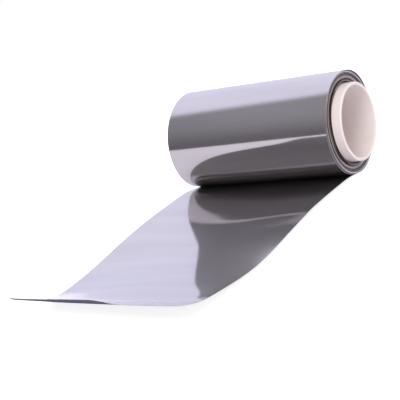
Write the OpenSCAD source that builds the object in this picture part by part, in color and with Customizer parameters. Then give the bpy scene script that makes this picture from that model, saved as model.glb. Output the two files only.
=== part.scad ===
// Titanium foil wound on a plastic core tube, lying on a level surface with
// its free end drawn off towards the front.
// X runs along the roll's axis, the tail leaves towards -Y, +Z is up.
// The origin is on the axis of the core's bore, at the middle of its length.

/* [Core tube] */
// Bore of the core tube, for a three-inch mandrel
core_bore = 76.2; // [40:0.1:120]
// Wall of the core tube
core_wall = 3.4; // [2:0.1:8]
// How far the core stands out of the foil at each end
core_overhang = 9.8; // [3:0.1:40]
// Rounding of the core's rims
rim_round = 0.8; // [0.3:0.1:0.9]

/* [Foil] */
// Width of the foil strip
foil_w = 200; // [60:1:400]
// Thickness of the foil
foil_t = 0.1; // [0.05:0.01:0.3]
// Build of the tightly wound laps, bore to outside
wound_build = 11.5; // [6:0.1:60]

/* [Laps on the ends] */
// Bundles of laps that show on each end
lap_bundles = 6; // [3:1:8]
// Each bundle's thickness over that of the looser one inside it
bundle_growth = 1.8; // [1:0.05:2]
// Open space between two bundles
lap_gap = 0.35; // [0.1:0.05:0.5]
// Depth of the space between two bundles
lap_relief = 2; // [1:0.1:6]
// Furthest that a bundle has slid along the axis
telescope = 0.6; // [0:0.05:0.9]

/* [Loose first lap] */
// Space between the core and the tight laps
loose_gap = 2; // [1:0.1:5]
// Angle round the core over which the first lap opens out
loose_turn = 400; // [200:10:540]
// Running gap between the first lap and the core
core_fit = 0.1; // [0.05:0.05:0.3]

/* [Tail] */
// Slope at which the tail leaves the roll
leave_angle = 10.5; // [6:0.5:16]
// Reach of the left edge, from where it leaves the roll to the cut
left_reach = 333; // [320:0.5:420]
// Reach of the right edge, which makes the cut slant
right_reach = 344.5; // [320:0.5:420]
// How far the tail slides to the left, just after it has left the roll
tail_slide = 2.3; // [0:0.1:5]
// Length over which it does so
slide_l = 15; // [5:1:60]
// Angle at which it runs back to the right
tail_yaw = 0.45; // [-1:0.05:1]

/* [Left edge, bend by bend] */
// Where each bend starts, from where the tail leaves the roll
left_at = [17.5, 72, 183, 259]; // [0:0.5:320]
// Length of each bend
left_bend = [35, 123, 110, 48]; // [5:0.5:160]
// Slope after each bend: crest, fall, landing, lifted end
left_slope = [0.7, -5.1, 1.8, 28]; // [-12:0.1:50]

/* [Middle of the tail, bend by bend] */
// Where each bend starts
middle_at = [0, 22, 136.5, 288.5]; // [0:0.5:320]
// Length of each bend
middle_bend = [14, 123, 110, 48]; // [5:0.5:160]
// Slope after each bend
middle_slope = [0.8, -1.2, 6.2, 25.4]; // [-12:0.1:50]

/* [Right edge, bend by bend] */
// Where each bend starts
right_at = [0, 60.5, 171.5, 294]; // [0:0.5:320]
// Length of each bend
right_bend = [37, 123, 110, 48]; // [5:0.5:160]
// Slope after each bend
right_slope = [1.9, -3.3, 9.3, 23.5]; // [-12:0.1:50]

/* [Hidden] */
$fn = 96;

core_r = core_bore / 2 + core_wall;
core_l = foil_w + 2 * core_overhang;
wound_bore_r = core_r + loose_gap;
roll_r = wound_bore_r + wound_build;

// The golden angle spreads the slide of the bundles without a pattern.
slide_step = 137.5;
lap_step = 8;
tail_rows = 60;
tail_columns = 8;
// The tail is clear of the roll's surface at this distance, and only then slides.
clear_d = 5;

// The bundles grow outwards by one factor and fill the build between them.
function growth_sum(n) = n == 0 ? 0 : growth_sum(n - 1) + pow(bundle_growth, n - 1);
thinnest = (wound_build - (lap_bundles - 1) * lap_gap) / growth_sum(lap_bundles);
function bundle_r(i) = wound_bore_r + i * lap_gap + thinnest * growth_sum(i);
function bundle_t(i) = thinnest * pow(bundle_growth, i);

// The tail's first line touches the roll under its axis, sunk half a thickness into
// the outermost lap. Its distance in front of the axis and its height:
leave_s = (roll_r - foil_t) * sin(leave_angle);
leave_h = roll_r - (roll_r - foil_t) * cos(leave_angle);

// Over a bend the slope eases from one value to the next as 3u^2 - 2u^3, and the
// height that it adds grows as the sum of that.
function eased(u) = u <= 0 ? 0 : u < 1 ? pow(u, 3) - pow(u, 4) / 2 : u - 0.5;

// Height of one line of the tail over the surface, d from where it leaves the roll.
function line_h(d, at, bend, slope, k = 0) =
    k == len(at) ? leave_h + tan(leave_angle) * d
    : line_h(d, at, bend, slope, k + 1)
        + (tan(slope[k]) - tan(k == 0 ? leave_angle : slope[k - 1]))
        * bend[k] * eased((d - at[k]) / bend[k]);

// Across the tail, u from -1 to 1, a parabola runs through its three lines, and the
// foil never dips under the surface that it lies on.
function tail_h(u, d) =
    let (left = line_h(d, left_at, left_bend, left_slope),
        middle = line_h(d, middle_at, middle_bend, middle_slope),
        right = line_h(d, right_at, right_bend, right_slope))
    max(foil_t / 2, middle + (right - left) / 2 * u + (left + right - 2 * middle) / 2 * u * u);

// How far it lies to the side, with the slide eased in.
function slid(d) =
    let (v = min(max((d - clear_d) / slide_l, 0), 1))
    (tan(tail_yaw) * d - tail_slide) * (3 * v * v - 2 * v * v * v);
function tail_pt(u, d) = [u * foil_w / 2 + slid(d), -leave_s - d, tail_h(u, d) - roll_r];
function tail_reach(u) = (left_reach + right_reach) / 2 + (right_reach - left_reach) / 2 * u;

// Direction in which the tail's upper face looks, from two short steps on it.
function tail_up(u, d, du = 0.005, dd = 0.5) =
    unit(cross(tail_pt(u, d + dd) - tail_pt(u, d - dd), tail_pt(u + du, d) - tail_pt(u - du, d)));

function unit(v) = v / norm(v);
function left_of(v) = [-v[1], v[0]];

// Normal of a line of points at point i, from its two neighbours.
function normal_at(line, i) =
    let (last = len(line) - 1)
    left_of(unit(line[min(i + 1, last)] - line[max(i - 1, 0)]));

// Outline of a strip of thickness t along a line of points.
function strip(line, t) = concat(
    [for (i = [0:len(line) - 1]) line[i] + t / 2 * normal_at(line, i)],
    [for (i = [len(line) - 1:-1:0]) line[i] - t / 2 * normal_at(line, i)]);

// The first lap opens from the core out into the tight laps.
first_r = core_r + core_fit + foil_t / 2;
last_r = wound_bore_r + thinnest / 2;
function loose_r(u) = first_r + (last_r - first_r) * pow(u, 3);
lap_count = ceil(loose_turn / lap_step);
loose_line = [for (i = [0:lap_count])
    let (u = i / lap_count, a = u * loose_turn) loose_r(u) * [cos(a), sin(a)]];

// How far bundle i has slid along the axis; the outermost one hasn't.
function slide(i) = i == lap_bundles - 1 ? 0 : telescope * sin(i * slide_step);

// One end of the wound laps, from the bore outwards, as [radius, place on the axis].
function lap_end(side) = [for (i = [0:lap_bundles - 1])
    let (r = bundle_r(i), out = r + bundle_t(i), x = side * foil_w / 2 + slide(i))
    for (p = concat(
        [[r, x], [out, x]],
        i < lap_bundles - 1 ? [for (q = [out, out + lap_gap])
            [q, side * (foil_w / 2 - lap_relief)]] : [])) p];

function backwards(list) = [for (i = [len(list) - 1:-1:0]) list[i]];

// Stands a section drawn as [radius, place on the axis] round the X axis.
module turned() {
    rotate([0, 90, 0]) rotate([0, 0, 180]) rotate_extrude() children();
}

// Runs a section drawn as [distance in front, height] along the foil's width.
module along_width() {
    rotate([90, 0, -90]) translate([0, 0, -foil_w / 2]) linear_extrude(foil_w) children();
}

module tube_section() {
    inner = core_bore / 2;
    translate([inner + rim_round, -core_l / 2]) square([core_wall - 2 * rim_round, core_l]);
    translate([inner, -core_l / 2 + rim_round]) square([core_wall, core_l - 2 * rim_round]);
    for (r = [inner + rim_round, core_r - rim_round], side = [-1, 1])
        translate([r, side * (core_l / 2 - rim_round)]) circle(rim_round, $fn = 32);
}

module core_tube() {
    color([0.93, 0.89, 0.86]) turned() tube_section();
}

module wound_laps() {
    turned() polygon(concat(lap_end(-1), backwards(lap_end(1))));
}

module first_lap() {
    along_width() polygon(strip(loose_line, foil_t));
}

// The tail is an upper and a lower grid of points, closed round the border. Its faces
// run clockwise as seen from outside.
module tail() {
    row = tail_columns + 1;
    count = row * (tail_rows + 1);
    points = [for (side = [1, -1], j = [0:tail_rows], i = [0:tail_columns])
        let (u = 2 * i / tail_columns - 1, d = tail_reach(u) * j / tail_rows)
        tail_pt(u, d) + side * foil_t / 2 * tail_up(u, d)];
    upper = [for (j = [0:tail_rows - 1], i = [0:tail_columns - 1])
        let (a = j * row + i) each [[a, a + 1, a + row + 1], [a, a + row + 1, a + row]]];
    lower = [for (f = upper) [f[2] + count, f[1] + count, f[0] + count]];
    sides = [for (j = [0:tail_rows - 1])
        each [[(j + 1) * row, j * row], [j * row + tail_columns, (j + 1) * row + tail_columns]]];
    ends = [for (i = [0:tail_columns - 1])
        each [[i, i + 1], [tail_rows * row + i + 1, tail_rows * row + i]]];
    border = [for (e = concat(sides, ends))
        each [[e[1], e[0], e[0] + count], [e[1], e[0] + count, e[1] + count]]];
    polyhedron(points, concat(upper, lower, border));
}

module foil() {
    color([0.55, 0.54, 0.57]) union() {
        wound_laps();
        first_lap();
        tail();
    }
}

core_tube();
foil();
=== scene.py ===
# Titanium foil roll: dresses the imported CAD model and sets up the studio.
# The roll's axis lies along X, its tail leaves towards -Y, and +Z is up.
import math

import bpy
import numpy as np
from mathutils import Matrix, Vector


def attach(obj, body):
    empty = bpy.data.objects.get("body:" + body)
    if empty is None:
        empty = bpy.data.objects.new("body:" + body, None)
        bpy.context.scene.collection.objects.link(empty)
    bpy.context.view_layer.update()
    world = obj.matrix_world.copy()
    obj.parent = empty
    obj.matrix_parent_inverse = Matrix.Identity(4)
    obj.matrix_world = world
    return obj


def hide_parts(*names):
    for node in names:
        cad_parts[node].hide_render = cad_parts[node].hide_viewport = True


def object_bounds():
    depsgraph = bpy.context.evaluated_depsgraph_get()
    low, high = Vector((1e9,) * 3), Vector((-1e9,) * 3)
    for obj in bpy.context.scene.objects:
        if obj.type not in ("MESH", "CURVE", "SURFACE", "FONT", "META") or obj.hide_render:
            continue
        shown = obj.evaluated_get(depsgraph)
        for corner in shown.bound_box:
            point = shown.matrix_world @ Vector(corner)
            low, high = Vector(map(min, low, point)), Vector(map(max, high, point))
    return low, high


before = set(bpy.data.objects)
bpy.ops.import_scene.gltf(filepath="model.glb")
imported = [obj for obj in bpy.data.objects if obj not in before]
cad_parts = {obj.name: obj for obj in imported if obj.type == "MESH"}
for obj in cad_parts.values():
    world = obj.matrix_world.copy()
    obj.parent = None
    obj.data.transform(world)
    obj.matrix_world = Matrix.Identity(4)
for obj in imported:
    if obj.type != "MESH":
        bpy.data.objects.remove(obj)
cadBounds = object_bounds()
print("scene: frame loaded")

mm = 0.001

# The camera stands in front of the roll's right end, turned about its own line of sight.
viewSettings = {
    "place": (0.5800, -0.9096, 0.2778),    # metres
    "aim": (-0.0031, -0.1524, -0.0167),
    "roll": 16.64,                   # degrees
    "lens": 90.23,                   # mm
    "sensor": 36,                    # mm
    "nearest": 0.01,                 # metres
    "furthest": 50,
}


def placeCamera(view):
    # The camera looks from its place to its aim, turned round that line by its roll.
    place = Vector(view["place"])
    forward = (Vector(view["aim"]) - place).normalized()
    level = forward.cross(Vector((0, 0, 1))).normalized()
    top = level.cross(forward)
    turn = math.radians(view["roll"])
    up = top * math.cos(turn) + level * math.sin(turn)
    right = forward.cross(up)
    data = bpy.data.cameras.new("camera")
    data.lens = view["lens"]
    data.sensor_width = view["sensor"]
    data.clip_start = view["nearest"]
    data.clip_end = view["furthest"]
    camera = bpy.data.objects.new("camera", data)
    bpy.context.scene.collection.objects.link(camera)
    axes = Matrix((right, up, -forward)).transposed().to_4x4()
    camera.matrix_world = Matrix.Translation(place) @ axes
    bpy.context.scene.camera = camera


placeCamera(viewSettings)
print("scene: camera ready")


def smooth(value):
    # 3u^2 - 2u^3 between 0 and 1, and level outside them.
    u = np.clip(value, 0, 1)
    return u * u * (3 - 2 * u)


def gridFaces(rows, columns, wrapRows=False, wrapColumns=False):
    # Quads (i, j), (i, j+1), (i+1, j+1), (i+1, j) of a grid numbered row by row.
    i = np.arange(rows if wrapRows else rows - 1)[:, None]
    j = np.arange(columns if wrapColumns else columns - 1)[None, :]
    nextI, nextJ = (i + 1) % rows, (j + 1) % columns
    quads = np.stack(np.broadcast_arrays(
        i * columns + j, i * columns + nextJ,
        nextI * columns + nextJ, nextI * columns + j), axis=-1)
    return quads.reshape(-1, 4)


def outwards(points, quads):
    # A closed shell's signed volume sums a . (b x c) / 6. Below zero, its faces are turned.
    a, b, c, d = (points[quads[:, k]] for k in range(4))
    volume = np.einsum("ij,ij->", a, np.cross(b, c)) + np.einsum("ij,ij->", a, np.cross(c, d))
    return quads if volume > 0 else quads[:, ::-1]


def sheetShell(middle, normal, thickness):
    # A grid of points becomes two, half a thickness to either side along its normals, and the
    # open border between them is closed.
    rows, columns = middle.shape[:2]
    top = (middle + normal * thickness / 2).reshape(-1, 3)
    low = (middle - normal * thickness / 2).reshape(-1, 3)
    count = rows * columns
    faces = gridFaces(rows, columns)
    number = np.arange(count).reshape(rows, columns)
    border = np.concatenate((
        number[0, :], number[1:, -1], number[-1, -2::-1], number[-2:0:-1, 0]))
    after = np.roll(border, -1)
    sides = np.stack((border, border + count, after + count, after), axis=1)
    return np.concatenate((top, low)), np.concatenate((faces, faces[:, ::-1] + count, sides))


def gridNormals(points):
    # The cross product of the two directions of the grid, at length 1.
    normal = np.cross(np.gradient(points, axis=1), np.gradient(points, axis=0))
    return normal / np.linalg.norm(normal, axis=-1, keepdims=True)


def makePiece(name, shells, materials, sharpFrom=32):
    # Each shell is (points in mm, quads, number of its material for each quad). Edges that bend
    # by more than sharpFrom degrees stay sharp.
    points, quads, kinds, start = [], [], [], 0
    for shellPoints, shellQuads, shellKinds in shells:
        points.append(shellPoints * mm)
        quads.append(outwards(shellPoints, shellQuads) + start)
        kinds.append(shellKinds)
        start += len(shellPoints)
    points, quads, kinds = np.concatenate(points), np.concatenate(quads), np.concatenate(kinds)
    mesh = bpy.data.meshes.new(name)
    mesh.from_pydata(points.tolist(), [], quads.tolist())
    for material in materials:
        mesh.materials.append(material)
    mesh.polygons.foreach_set("material_index", kinds.astype(np.int32))
    mesh.polygons.foreach_set("use_smooth", np.ones(len(quads), dtype=bool))
    mesh.set_sharp_from_angle(angle=math.radians(sharpFrom))
    mesh.validate()
    piece = bpy.data.objects.new(name, mesh)
    bpy.context.scene.collection.objects.link(piece)
    print("scene:", name, "has", 2 * len(quads), "triangles")
    return piece


def newMaterial(name):
    # A material, its nodes and links, and its shader.
    material = bpy.data.materials.new(name)
    material.use_nodes = True
    nodes, links = material.node_tree.nodes, material.node_tree.links
    return material, nodes, links, nodes["Principled BSDF"]


def stretchedNoise(nodes, links, scale, detail):
    # Noise on the object's own coordinates, stretched by a different scale along each axis.
    place = nodes.new("ShaderNodeTexCoord")
    mapping = nodes.new("ShaderNodeMapping")
    mapping.inputs["Scale"].default_value = scale
    noise = nodes.new("ShaderNodeTexNoise")
    noise.inputs["Scale"].default_value = 1
    noise.inputs["Detail"].default_value = detail
    links.new(place.outputs["Object"], mapping.inputs["Vector"])
    links.new(mapping.outputs["Vector"], noise.inputs["Vector"])
    return noise.outputs[0]


def ramp(nodes, links, value, fromRange, toRange=(0, 1), kind="LINEAR"):
    # Takes a value from one range to another, in a straight line or as a smooth step.
    node = nodes.new("ShaderNodeMapRange")
    node.interpolation_type = kind
    links.new(value, node.inputs["Value"])
    for socket, number in zip(list(node.inputs)[1:5], (*fromRange, *toRange)):
        socket.default_value = number
    return node.outputs[0]


def calculate(nodes, links, operation, first, second=0):
    # One step of arithmetic. Each of its two values is a number or another node's output.
    node = nodes.new("ShaderNodeMath")
    node.operation = operation
    for socket, value in zip(node.inputs, (first, second)):
        if isinstance(value, (int, float)):
            socket.default_value = value
        else:
            links.new(value, socket)
    return node.outputs[0]


def blendColours(nodes, links, value, first, second):
    # The first colour where the value is 0, the second where it is 1. Each is a colour or another
    # node's output.
    node = nodes.new("ShaderNodeMix")
    node.data_type = "RGBA"
    links.new(value, node.inputs["Factor"])
    for socket, colour in ((node.inputs["A"], first), (node.inputs["B"], second)):
        if isinstance(colour, tuple):
            socket.default_value = (*colour, 1)
        else:
            links.new(colour, socket)
    return node.outputs["Result"]


def multiplyColours(nodes, links, first, second):
    # The product of two nodes' colours.
    node = nodes.new("ShaderNodeMix")
    node.data_type = "RGBA"
    node.blend_type = "MULTIPLY"
    node.inputs["Factor"].default_value = 1
    links.new(first, node.inputs["A"])
    links.new(second, node.inputs["B"])
    return node.outputs["Result"]


def addBump(nodes, links, shader, height, strength, distance):
    # The pattern's height, at most this distance, tilts the light on the surface.
    bump = nodes.new("ShaderNodeBump")
    bump.inputs["Strength"].default_value = strength
    bump.inputs["Distance"].default_value = distance
    links.new(height, bump.inputs["Height"])
    links.new(bump.outputs[0], shader.inputs["Normal"])


def dressNode(node, material):
    # Gives a CAD node one material throughout.
    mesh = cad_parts[node].data
    for index in range(len(mesh.materials)):
        mesh.materials[index] = material
    if not mesh.materials:
        mesh.materials.append(material)


# The foil is one strip: the wound coil, the loose laps between it and the core, and the tail.
# Lengths are in mm and angles in degrees. Angles round the coil start under its axis.
foilSettings = {
    "thickness": 0.1,
    "halfWidth": 100.0,
    "outside": 55.0,                 # radius of the coil
    "bore": 43.5,                    # and of the hole in its tight laps
    "leaves": 10.5,                  # where the tail leaves the roll, and its slope there
    "slide": 2.3,                    # the outermost laps slide this far to the left before that
    "coil": {
        "steps": 180,                # points round it
        "wallRings": 26,             # rings along its outside
        "wallInset": 0.3,            # the first and last lie this far from the rounded edges
        "bundles": 6,                # bundles of laps that show on the ends
        "growth": 1.8,               # each is thicker than the one inside it by this factor
        "sunk": (1.6, 1.4, 1.8, 0.9, 0.45, 0),    # how far each lies under the end's plane
        "gap": 0.35,                 # space between two bundles
        "gapTaper": 0.02,            # which narrows by this from each side
        "relief": 2.0,               # and its depth
        "lapPitch": 0.34,            # laps that show within a bundle
        "lapSlide": 0.16,            # how far a lap may lie under its neighbours
        "groove": 0.08,              # what a lap gives to the groove beside it
        "grooveBottom": 0.1,         # the share of that which is left at the groove's bottom
        "grooveDepth": 0.16,
        "seed": 11,                  # of the laps' slides
        "corner": 0.45,              # rounding of the outermost lap's edge
        "cornerSteps": 6,
        "oval": 1.2,                 # the inner laps are wider over and under the core by this
        "lobes": 0.28,               # share of it by which the laps half-way out have three lobes
        "lobeTwist": 9,              # radians by which the lobes turn from the outside to the bore
        "wave": 0.07,                # the laps' ends wave by this as they go round
        "waveTwist": 2.3,            # radians by which the wave turns in each mm of radius
        "waver": 0.012,              # the outermost lap is out of true by this, in two waves:
        "waverWaves": ((3, 0.021, 0), (5, -0.034, 1.3)),    # round, radians in each mm, start
        "slideTurn": 140,            # degrees up the front over which the laps slide to the left
        "slideBuild": 1.6,           # how deep into the laps a slide reaches
        "slideBack": 2.8,            # over the top and down the back they slide to the right
        "backStarts": (100, 110),    # from this angle, over these degrees
        "backEnds": (205, 70),       # and from here it goes back again
    },
    "looseLaps": (                   # each opens out from the core
        {"start": 200, "turn": 400, "inside": 41.65, "outside": 42.0, "power": 3,
         "halfWidth": 99.6, "oval": 1.3, "thickness": 0.1},
        {"start": 20, "turn": 345, "inside": 42.0, "outside": 42.4, "power": 1.2,
         "halfWidth": 100.1, "oval": 2.2, "thickness": 0.4},
    ),
    "tail": {
        "under": 5.0,                # length that still hugs the roll before it leaves
        "reachLeft": 332.9,          # from where it leaves to the cut, along the left edge
        "reachRight": 344.4,         # and along the right one
        "yaw": 0.45,                 # it runs to the right by this angle
        # bends of each line: where they start, how long they are, and the slope after each
        "left": ((17.5, 72, 183, 259), (35, 123, 110, 48), (0.7, -5.1, 1.8, 28)),
        "middle": ((0, 22, 136.5, 288.5), (14, 123, 110, 48), (0.8, -1.2, 6.2, 25.4)),
        "right": ((0, 60.5, 171.5, 294), (37, 123, 110, 48), (1.9, -3.3, 9.3, 23.5)),
        # shallow dents and ridges: across, in front of the axis, wide, long, high, turned
        "dents": ((64, 90, 42, 30, 1.1, 0), (65, 122, 50, 9, 0.6, -6), (-10, 196, 9, 14, -0.3, 0),
                  (25, 208, 26, 36, 0.30, 0), (86, 311, 30, 31, -0.27, 0)),
        "dentsFrom": 40,             # length over which they set in
        # the last of it before the cut curls up
        "lipLength": 5.0,
        "lipCorner": 2.0,            # how far at the left corner
        "lipMiddle": 4.2,            # mid-way
        "lipRest": 0.5,              # and on the right
        "lipRise": 1.1,              # half widths from the corner to the highest place
        "lipFall": (0.02, 0.35),     # where it falls again, and over how many half widths
        "columns": 57,               # points across
        "rows": 240,                 # rows up to the cut's share of the length
        "cutRows": 24,               # and the closer ones from there to the cut
        "cutShare": 0.975,
    },
    "face": {                        # the rolled face, with scales in cells to the metre
        "colours": ((0.475, 0.452, 0.448), (0.53, 0.505, 0.504)),
        "clouds": (6, 48, 48), "cloudSpread": (0.3, 0.7),
        "lines": (1500, 9, 9), "lineSpread": (0.25, 0.75),
        "detail": 3,
        "roughness": (0.07, 0.13),
        "film": 0.92, "filmRoughness": 0.5, "filmIor": 1.55,
        "bump": 0.04, "bumpHeight": 0.0001,
    },
    "edges": {                       # the laps' cut edges
        "laps": (                    # colours from the core, 0, to the outermost lap, 1: the dark brown bands by the core and the dark band past mid-way are painted shade
            (0.00, (0.22, 0.165, 0.15)), (0.34, (0.20, 0.15, 0.135)),
            (0.40, (0.42, 0.385, 0.365)), (0.50, (0.40, 0.37, 0.35)),
            (0.55, (0.15, 0.145, 0.15)), (0.74, (0.26, 0.255, 0.26)),
            (0.86, (0.40, 0.39, 0.395)), (0.93, (0.52, 0.505, 0.505))),
        "radii": (0.0415, 0.0555),   # metres, of 0 and 1
        "lines": 800, "lineDetail": 4, "lineSpread": (0.38, 0.62),
        "lineShades": ((0.28, 0.26, 0.26), (1.30, 1.30, 1.30)),
        # painted light: the edges' colour is made lighter over and under the axis by these shades
        "heights": (0.015, 0.048),   # metres over or under the axis
        "paintedLightShades": ((0.85, 0.85, 0.85), (1.6, 1.6, 1.6)),
        "roughness": 0.42,
    },
    "underside": {
        # painted shade: the underside is coloured dark for the shade under the tail's lip
        "colours": ((0.14, 0.14, 0.175), (0.20, 0.20, 0.24)), "colourSpread": (0.3, 0.7),
        "lines": (900, 7, 7), "lineSpread": (0.25, 0.75), "detail": 3,
        "roughness": (0.24, 0.36),
        "rim": (0.45, 0.45, 0.52, 1),    # painted shade: darkens what it mirrors at a low angle
    },
}
faceKind, edgeKind, undersideKind = 0, 1, 2    # numbers of the strip's three materials


def endProfile(foil, random):
    # From the bore outwards: the radius of every lap and groove, and its depth under the end's
    # plane. The bundles grow by one factor and fill the build between them.
    coil = foil["coil"]
    count, gap, groove = coil["bundles"], coil["gap"], coil["groove"]
    build = foil["outside"] - foil["bore"] - (count - 1) * gap
    share = coil["growth"] ** np.arange(count)
    thick = build * share / share.sum()
    inner = foil["bore"] + np.concatenate(([0], np.cumsum(thick + gap)[:-1]))
    bottom = groove * coil["grooveBottom"]
    radius, depth = [], []
    for index in range(count):
        laps = max(1, int(round(thick[index] / coil["lapPitch"])))
        edges = np.linspace(inner[index], inner[index] + thick[index], laps + 1)
        slide = random.uniform(0, coil["lapSlide"], laps) + coil["sunk"][index]
        cut = slide + coil["grooveDepth"]
        lowR, highR = edges[:-1], edges[1:]
        lapRadius = np.stack((lowR + bottom, lowR + groove, highR - groove, highR - bottom), axis=1)
        lapDepth = np.stack((cut, slide, slide, cut), axis=1)
        if index == count - 1:
            lapRadius, lapDepth = lapRadius[:-1], lapDepth[:-1]
        radius.append(lapRadius.ravel())
        depth.append(lapDepth.ravel())
        if index < count - 1:
            out, taper = inner[index] + thick[index], coil["gapTaper"]
            radius.append(np.array([out + taper, out + gap - taper]))
            depth.append(np.full(2, coil["relief"] + coil["sunk"][index]))
    # the outermost lap is whole, and its edge is rounded over towards the outside
    angle = np.linspace(0, math.pi / 2, coil["cornerSteps"])
    r = coil["corner"]
    radius.append(np.concatenate(([edges[-2] + groove], foil["outside"] - r + r * np.sin(angle))))
    depth.append(np.concatenate(([0], r - r * np.cos(angle))))
    return np.concatenate(radius), np.concatenate(depth)


def coilShell(foil):
    # A closed profile carried round the X axis: outside, right end, bore, left end.
    coil = foil["coil"]
    random = np.random.default_rng(coil["seed"])
    half, outside, bore = foil["halfWidth"], foil["outside"], foil["bore"]
    rightR, rightDepth = endProfile(foil, random)
    leftR, leftDepth = endProfile(foil, random)
    # the wall's last rings lie close to the rounded edges, which keeps its shading straight
    wall = np.linspace(-half + coil["corner"], half - coil["corner"], coil["wallRings"])
    wall[0] += coil["wallInset"]
    wall[-1] -= coil["wallInset"]
    radius = np.concatenate((np.full(len(wall), outside), rightR[::-1], leftR))
    place = np.concatenate((wall, (half - rightDepth)[::-1], -half + leftDepth))
    isEnd = np.arange(len(radius)) >= len(wall)
    turn = np.arange(coil["steps"])[:, None] * 2 * math.pi / coil["steps"]
    # inward is 0 at the outermost lap and 1 at the bore. The laps below the outer quarter are
    # wider over and under the core, and the ones half-way have three lobes too.
    inward = (outside - radius) / (outside - bore)
    halfWay = inward * (1 - inward) * 4
    lobes = coil["lobes"] * np.sin(turn * 3 + coil["lobeTwist"] * inward) * halfWay
    sway = coil["oval"] * (np.cos(2 * turn) * inward - lobes)
    ring = radius + sway * smooth(inward * 4)
    # below the outer sixth their ends wave as they go round
    below = smooth(inward * 6)
    wave = coil["wave"] * np.sin(turn * 2 + radius * coil["waveTwist"]) * isEnd * below
    across = place - np.sign(place) * np.abs(wave)
    # up the front the outermost laps lie to the left, as the tail does that they run into, and
    # over the top and down the back they lie to the right
    upFront = (360 - np.degrees(turn)) % 360
    left = (smooth(upFront / foil["leaves"])
            * (1 - smooth((upFront - foil["leaves"]) / coil["slideTurn"])))
    (riseAt, riseOver), (fallAt, fallOver) = coil["backStarts"], coil["backEnds"]
    right = smooth((upFront - riseAt) / riseOver) * (1 - smooth((upFront - fallAt) / fallOver))
    shift = coil["slideBack"] * right - foil["slide"] * left
    across = across + shift * smooth(1 + (radius - outside) / coil["slideBuild"])
    # the outermost lap is a hair out of true, and only inwards
    waver = sum(np.sin(waves * turn + place * skew + start) - 1
                for waves, skew, start in coil["waverWaves"])
    ring = ring + coil["waver"] * waver * (1 - below)
    points = np.stack((across, ring * np.sin(turn), -ring * np.cos(turn)), axis=-1)
    quads = gridFaces(coil["steps"], len(radius), wrapRows=True, wrapColumns=True)
    ends = np.tile(isEnd & np.roll(isEnd, -1), coil["steps"])
    return points.reshape(-1, 3), quads, np.where(ends, edgeKind, faceKind)


def looseShell(lap, degreesPerStep=3):
    # One lap that opens out from the core: its radius grows with the angle to a power, and it
    # stands off over and under the core by the square of the angle's cosine.
    steps = int(lap["turn"] / degreesPerStep) + 1
    u = np.linspace(0, 1, steps)[:, None]
    angle = np.radians(lap["start"] + lap["turn"] * u)
    opened = lap["inside"] + (lap["outside"] - lap["inside"]) * u ** lap["power"]
    radius = opened + lap["oval"] * np.cos(angle) ** 2 * smooth(u * 2)
    across = np.linspace(-lap["halfWidth"], lap["halfWidth"], 3)[None, :]
    full = np.ones((1, 3))
    level, sine, cosine = 0 * u * full, np.sin(angle) * full, np.cos(angle) * full
    middle = np.stack((across + level, radius * sine, -radius * cosine), axis=-1)
    normal = np.stack((level, sine, -cosine), axis=-1)
    points, quads = sheetShell(middle, normal, lap["thickness"])
    return points, quads, np.full(len(quads), faceKind)


def lineHeight(along, start, leaves, bends):
    # height = start + slope x distance, and each bend adds its change of slope x its length x the
    # sum of 3u^2 - 2u^3, which is u^3 - u^4 / 2 within the bend and u - 1/2 behind it
    slope = math.tan(math.radians(leaves))
    height = start + slope * along
    for at, length, degrees in zip(*bends):
        after = math.tan(math.radians(degrees))
        u = (along - at) / length
        inside = np.clip(u, 0, 1)
        eased = inside ** 3 - inside ** 4 / 2 + np.maximum(u - 1, 0)
        height = height + (after - slope) * length * eased
        slope = after
    return height


def dentHeight(dent, across, front):
    # A bell along the dent and one across it: high x e to the power of -(a^2 + b^2) / 2.
    place, forward, wide, long, high, degrees = dent
    cosine, sine = math.cos(math.radians(degrees)), math.sin(math.radians(degrees))
    a = ((across - place) * cosine + (front - forward) * sine) / wide
    b = ((front - forward) * cosine - (across - place) * sine) / long
    return high * np.exp(-(a ** 2 + b ** 2) / 2)


def lipHeight(tail, u, toEnd):
    # What the cut curls up by: the square of the share of the lip's length that is done, times a
    # height that rises from the left corner to mid-way and falls again to the right.
    done = np.clip(1 - toEnd / tail["lipLength"], 0, 1)
    fallAt, fallOver = tail["lipFall"]
    rise = (tail["lipMiddle"] - tail["lipCorner"]) * smooth((u + 1) / tail["lipRise"])
    fall = (tail["lipMiddle"] - tail["lipRest"]) * smooth((u - fallAt) / fallOver)
    return (tail["lipCorner"] + rise - fall) * done ** 2


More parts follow.
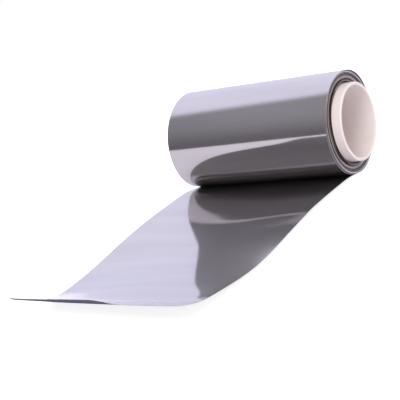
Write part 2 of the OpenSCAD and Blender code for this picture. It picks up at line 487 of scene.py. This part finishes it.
def tailShell(foil):
    # Height of the tail = a parabola across it through its left edge, middle and right edge, with
    # its dents and its lip on top.
    tail, lowest = foil["tail"], foil["thickness"] / 2
    outside, leaves = foil["outside"], math.radians(foil["leaves"])
    u = np.linspace(-1, 1, tail["columns"])[None, :]
    longer = (tail["reachRight"] - tail["reachLeft"]) / 2
    reach = (tail["reachRight"] + tail["reachLeft"]) / 2 + longer * u
    # the rows lie closer together in front of the cut
    far = np.linspace(0, tail["cutShare"], tail["rows"])
    near = np.linspace(tail["cutShare"], 1, tail["cutRows"] + 1)[1:]
    share = np.concatenate((far, near))[:, None]
    along = -tail["under"] + (reach + tail["under"]) * share
    # it starts half a thickness inside the outermost lap
    radius = outside - foil["thickness"]
    start = outside - radius * math.cos(leaves)
    left, middle, right = (
        lineHeight(np.maximum(along, 0), start, foil["leaves"], tail[side])
        for side in ("left", "middle", "right"))
    free = middle + (right - left) / 2 * u + (left + right - 2 * middle) / 2 * u * u
    # and hugs the roll as far as the line where it leaves
    front = radius * math.sin(leaves) + along
    hugging = outside - np.sqrt(np.maximum(radius ** 2 - front ** 2, 0))
    height = np.where(along < 0, hugging, np.maximum(free, lowest))
    # it lies to the left by what the outermost lap has slid, and runs back to the right
    aside = math.tan(math.radians(tail["yaw"])) * np.maximum(along, 0) - foil["slide"]
    across = foil["halfWidth"] * u + aside
    for dent in tail["dents"]:
        height = height + dentHeight(dent, across, front) * smooth(along / tail["dentsFrom"])
    height = height + lipHeight(tail, u, reach - along)
    points = np.stack((across, -front, np.maximum(height, lowest) - outside), axis=-1)
    normal = gridNormals(points)
    normal = np.where(normal[..., 2:] < 0, -normal, normal)
    shellPoints, quads = sheetShell(points, normal, foil["thickness"])
    # the first grid is the face, and what follows it is the underside and the border
    faceCount = (points.shape[0] - 1) * (points.shape[1] - 1)
    isFace = np.arange(len(quads)) < faceCount
    return shellPoints, quads, np.where(isFace, faceKind, undersideKind)


def foilMaterial(face):
    # Rolled metal: fine lines along the strip change its polish and its height by very little.
    material, nodes, links, shader = newMaterial("brightTitanium")
    lines = stretchedNoise(nodes, links, face["lines"], face["detail"])
    clouds = stretchedNoise(nodes, links, face["clouds"], face["detail"])
    clouded = ramp(nodes, links, clouds, face["cloudSpread"])
    polish = ramp(nodes, links, lines, face["lineSpread"], face["roughness"])
    links.new(blendColours(nodes, links, clouded, *face["colours"]), shader.inputs["Base Color"])
    links.new(polish, shader.inputs["Roughness"])
    shader.inputs["Metallic"].default_value = 1
    # a dull film that shows where the foil is seen at a low angle
    shader.inputs["Coat Weight"].default_value = face["film"]
    shader.inputs["Coat Roughness"].default_value = face["filmRoughness"]
    shader.inputs["Coat IOR"].default_value = face["filmIor"]
    addBump(nodes, links, shader, lines, face["bump"], face["bumpHeight"])
    return material


def edgeMaterial(edges):
    # The laps' cut edges: duller, with a colour that changes from lap to lap with the radius, and
    # painted shade in dark bands by the core and past mid-way.
    material, nodes, links, shader = newMaterial("foilEdges")
    place = nodes.new("ShaderNodeTexCoord")
    flat = nodes.new("ShaderNodeVectorMath")
    flat.operation = "MULTIPLY"
    flat.inputs[1].default_value = (0, 1, 1)
    radius = nodes.new("ShaderNodeVectorMath")
    radius.operation = "LENGTH"
    links.new(place.outputs["Object"], flat.inputs[0])
    links.new(flat.outputs[0], radius.inputs[0])
    lapTonesAndShade = nodes.new("ShaderNodeValToRGB")
    for stop in range(len(edges["laps"]) - 2):
        lapTonesAndShade.color_ramp.elements.new(0.5)
    for element, (position, colour) in zip(lapTonesAndShade.color_ramp.elements, edges["laps"]):
        element.position = position
        element.color = (*colour, 1)
    links.new(ramp(nodes, links, radius.outputs["Value"], edges["radii"]), lapTonesAndShade.inputs[0])
    # fine light and dark rings
    noise = nodes.new("ShaderNodeTexNoise")
    noise.noise_dimensions = "1D"
    noise.inputs["Scale"].default_value = edges["lines"]
    noise.inputs["Detail"].default_value = edges["lineDetail"]
    links.new(radius.outputs["Value"], noise.inputs["W"])
    lined = ramp(nodes, links, noise.outputs[0], edges["lineSpread"])
    rings = blendColours(nodes, links, lined, *edges["lineShades"])
    # painted light: over and under the core, where the laps fan out, their colour is made lighter
    parts = nodes.new("ShaderNodeSeparateXYZ")
    links.new(place.outputs["Object"], parts.inputs[0])
    high = calculate(nodes, links, "ABSOLUTE", parts.outputs["Z"])
    paintedLightShare = ramp(nodes, links, high, edges["heights"])
    light = blendColours(nodes, links, paintedLightShare, *edges["paintedLightShades"])
    lines = multiplyColours(nodes, links, lapTonesAndShade.outputs[0], rings)
    links.new(multiplyColours(nodes, links, lines, light), shader.inputs["Base Color"])
    shader.inputs["Metallic"].default_value = 1
    shader.inputs["Roughness"].default_value = edges["roughness"]
    return material


def undersideMaterial(underside):
    # The foil's other face: the same metal with painted shade that darkens its colour and what it
    # mirrors at a low angle, and coarser rolling lines.
    material, nodes, links, shader = newMaterial("paintedShadeTitanium")
    lines = stretchedNoise(nodes, links, underside["lines"], underside["detail"])
    paintedShadeShare = ramp(nodes, links, lines, underside["colourSpread"])
    polish = ramp(nodes, links, lines, underside["lineSpread"], underside["roughness"])
    links.new(blendColours(nodes, links, paintedShadeShare, *underside["colours"]),
              shader.inputs["Base Color"])
    links.new(polish, shader.inputs["Roughness"])
    shader.inputs["Metallic"].default_value = 1
    shader.inputs["Specular Tint"].default_value = underside["rim"]
    return material


brightTitanium = foilMaterial(foilSettings["face"])
foilEdges = edgeMaterial(foilSettings["edges"])
paintedShadeTitanium = undersideMaterial(foilSettings["underside"])
dressNode("foil", brightTitanium)
shells = [coilShell(foilSettings), tailShell(foilSettings)]
shells += [looseShell(lap) for lap in foilSettings["looseLaps"]]
foilStrip = makePiece("foilStrip", shells, [brightTitanium, foilEdges, paintedShadeTitanium])
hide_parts("foil")
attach(foilStrip, "root")
print("scene: foil ready")

# The core tube keeps its CAD mesh, and this is its finish, with scales in cells to the metre.
coreSettings = {
    "colours": ((0.88, 0.795, 0.775), (0.915, 0.84, 0.83)),
    "clouds": (22, 34, 34), "cloudDetail": 3, "cloudSpread": (0.3, 0.7),
    "lines": (12, 900, 900), "lineDetail": 2, "lineSpread": (0.2, 0.8),
    "roughness": (0.34, 0.46),
    "glow": 0.06,                    # share of the light that goes into the plastic
    "glowDepth": (0.004, 0.003, 0.0025),    # metres, for red, green and blue
    "bump": 0.1, "bumpHeight": 0.0002,
}


def coreMaterial(core):
    # Off-white plastic, a little cloudy, with faint drawing lines along the tube.
    material, nodes, links, shader = newMaterial("creamPlastic")
    clouds = stretchedNoise(nodes, links, core["clouds"], core["cloudDetail"])
    lines = stretchedNoise(nodes, links, core["lines"], core["lineDetail"])
    clouded = ramp(nodes, links, clouds, core["cloudSpread"])
    polish = ramp(nodes, links, lines, core["lineSpread"], core["roughness"])
    links.new(blendColours(nodes, links, clouded, *core["colours"]), shader.inputs["Base Color"])
    links.new(polish, shader.inputs["Roughness"])
    shader.inputs["Subsurface Weight"].default_value = core["glow"]
    shader.inputs["Subsurface Radius"].default_value = core["glowDepth"]
    addBump(nodes, links, shader, lines, core["bump"], core["bumpHeight"])
    return material


creamPlastic = coreMaterial(coreSettings)
dressNode("core_tube", creamPlastic)
print("scene: core ready")

tableSettings = {
    "front": -1.1,                   # metres: it ends here, in front of the roll
    "size": 3.6,
    "shade": 0.86,
    "roughness": 0.9,
    "seen": 0.82,                    # light added to it where the camera sees it
    "mirrored": 0.17,                # and where the metal mirrors it
    "tint": (1.14, 0.94, 1.55),      # of the mirrored light
}


def setTable(values, height):
    # A square table top, with light added for the camera and for reflections only.
    half = values["size"] / 2
    front, back = values["front"], values["front"] + values["size"]
    mesh = bpy.data.meshes.new("table")
    corners = [(-half, front, height), (half, front, height),
               (half, back, height), (-half, back, height)]
    mesh.from_pydata(corners, [], [(0, 1, 2, 3)])
    table = bpy.data.objects.new("table", mesh)
    bpy.context.scene.collection.objects.link(table)
    material, nodes, links, shader = newMaterial("paleTable")
    shader.inputs["Base Color"].default_value = (*[values["shade"]] * 3, 1)
    shader.inputs["Roughness"].default_value = values["roughness"]
    shader.inputs["Specular IOR Level"].default_value = 0
    path = nodes.new("ShaderNodeLightPath")
    byCamera, byMetal = path.outputs["Is Camera Ray"], path.outputs["Is Glossy Ray"]
    seen = ramp(nodes, links, byCamera, (0, 1), (0, values["seen"]))
    mirrored = ramp(nodes, links, byMetal, (0, 1), (0, values["mirrored"]))
    glow = nodes.new("ShaderNodeEmission")
    links.new(blendColours(nodes, links, byCamera, values["tint"], (1, 1, 1)),
              glow.inputs["Color"])
    links.new(calculate(nodes, links, "ADD", seen, mirrored), glow.inputs["Strength"])
    both = nodes.new("ShaderNodeAddShader")
    links.new(shader.outputs[0], both.inputs[0])
    links.new(glow.outputs[0], both.inputs[1])
    links.new(both.outputs[0], nodes["Material Output"].inputs[0])
    mesh.materials.append(material)


# The room is a colour for each direction (x, y, z) that the metal looks in. Each range is where
# one colour gives way to the next.
roomSettings = {
    "skyTop": (1.20, 1.19, 1.45),    # the bright back of the room, high up
    "skyLow": (0.87, 0.87, 1.11),    # and at its horizon
    "skyRange": (-0.2, 0.8),         # of z
    "frontTop": (0.42, 0.42, 0.47),  # the dark room behind the camera, high up
    "frontLow": (0.165, 0.148, 0.175),    # and at its horizon
    "frontRange": (-0.15, 0.75),     # of z
    "farLeft": 0.87,                 # the front dims towards the left by this
    "farLeftRange": (-0.62, -0.53),  # of x
    "backRange": (0.20, 0.45),       # of y, from the dark front to the bright back
    "backTurn": 0.75,                # on the left, the back starts sooner by this times x
    "rightSide": (0.90, 0.86, 0.82),     # the room that the open end of the core looks at
    "rightRange": (0.15, 0.4),       # of x
}


def setWorld(values):
    # The metal and the plastic see the room, and the camera sees plain white.
    world = bpy.data.worlds.new("studio")
    bpy.context.scene.world = world
    world.use_nodes = True
    nodes, links = world.node_tree.nodes, world.node_tree.links
    nodes.clear()
    place = nodes.new("ShaderNodeTexCoord")
    parts = nodes.new("ShaderNodeSeparateXYZ")
    links.new(place.outputs["Generated"], parts.inputs[0])
    x, y, z = parts.outputs

    def step(value, name):
        return ramp(nodes, links, value, values[name], kind="SMOOTHSTEP")

    def dimmer(colour):
        return tuple(part * values["farLeft"] for part in colour)

    # the front: dark, and darker towards its horizon and towards the left
    low, top = values["frontLow"], values["frontTop"]
    front = blendColours(nodes, links, step(z, "frontRange"), low, top)
    dimmed = blendColours(nodes, links, step(z, "frontRange"), dimmer(low), dimmer(top))
    front = blendColours(nodes, links, step(x, "farLeftRange"), dimmed, front)
    # the back: y less the turn times x, where x is to the left
    toLeft = calculate(nodes, links, "MINIMUM", x, 0.0)
    turned = calculate(nodes, links, "MULTIPLY", toLeft, values["backTurn"])
    towardsBack = calculate(nodes, links, "SUBTRACT", y, turned)
    sky = blendColours(nodes, links, step(z, "skyRange"), values["skyLow"], values["skyTop"])
    room = blendColours(nodes, links, step(towardsBack, "backRange"), front, sky)
    room = blendColours(nodes, links, step(x, "rightRange"), room, values["rightSide"])
    glow = nodes.new("ShaderNodeBackground")
    links.new(room, glow.inputs[0])
    white = nodes.new("ShaderNodeBackground")
    white.inputs[0].default_value = (1, 1, 1, 1)
    path = nodes.new("ShaderNodeLightPath")
    mix = nodes.new("ShaderNodeMixShader")
    links.new(path.outputs["Is Camera Ray"], mix.inputs[0])
    links.new(glow.outputs[0], mix.inputs[1])
    links.new(white.outputs[0], mix.inputs[2])
    out = nodes.new("ShaderNodeOutputWorld")
    links.new(mix.outputs[0], out.inputs[0])


lampSettings = {
    "place": (0.35, -1.05, 0.95),    # metres
    "size": 0.6,
    "power": 10.0,                   # watts
    "colour": (1, 0.98, 0.955),
}


def setLamp(values):
    # Soft light from the front right, on what is not metal. The metal does not mirror it.
    data = bpy.data.lights.new("softLamp", "AREA")
    data.size = values["size"]
    data.energy = values["power"]
    data.color = values["colour"]
    lamp = bpy.data.objects.new("softLamp", data)
    lamp.location = values["place"]
    lamp.rotation_euler = Vector(values["place"]).to_track_quat("Z", "Y").to_euler()
    lamp.visible_glossy = False
    bpy.context.scene.collection.objects.link(lamp)


setTable(tableSettings, cadBounds[0][2])
setLamp(lampSettings)
setWorld(roomSettings)
bpy.context.scene.view_settings.view_transform = "Standard"
# the gap between roll and tail is lit from mirror to mirror
bpy.context.scene.cycles.glossy_bounces = 10
print("scene: studio ready")
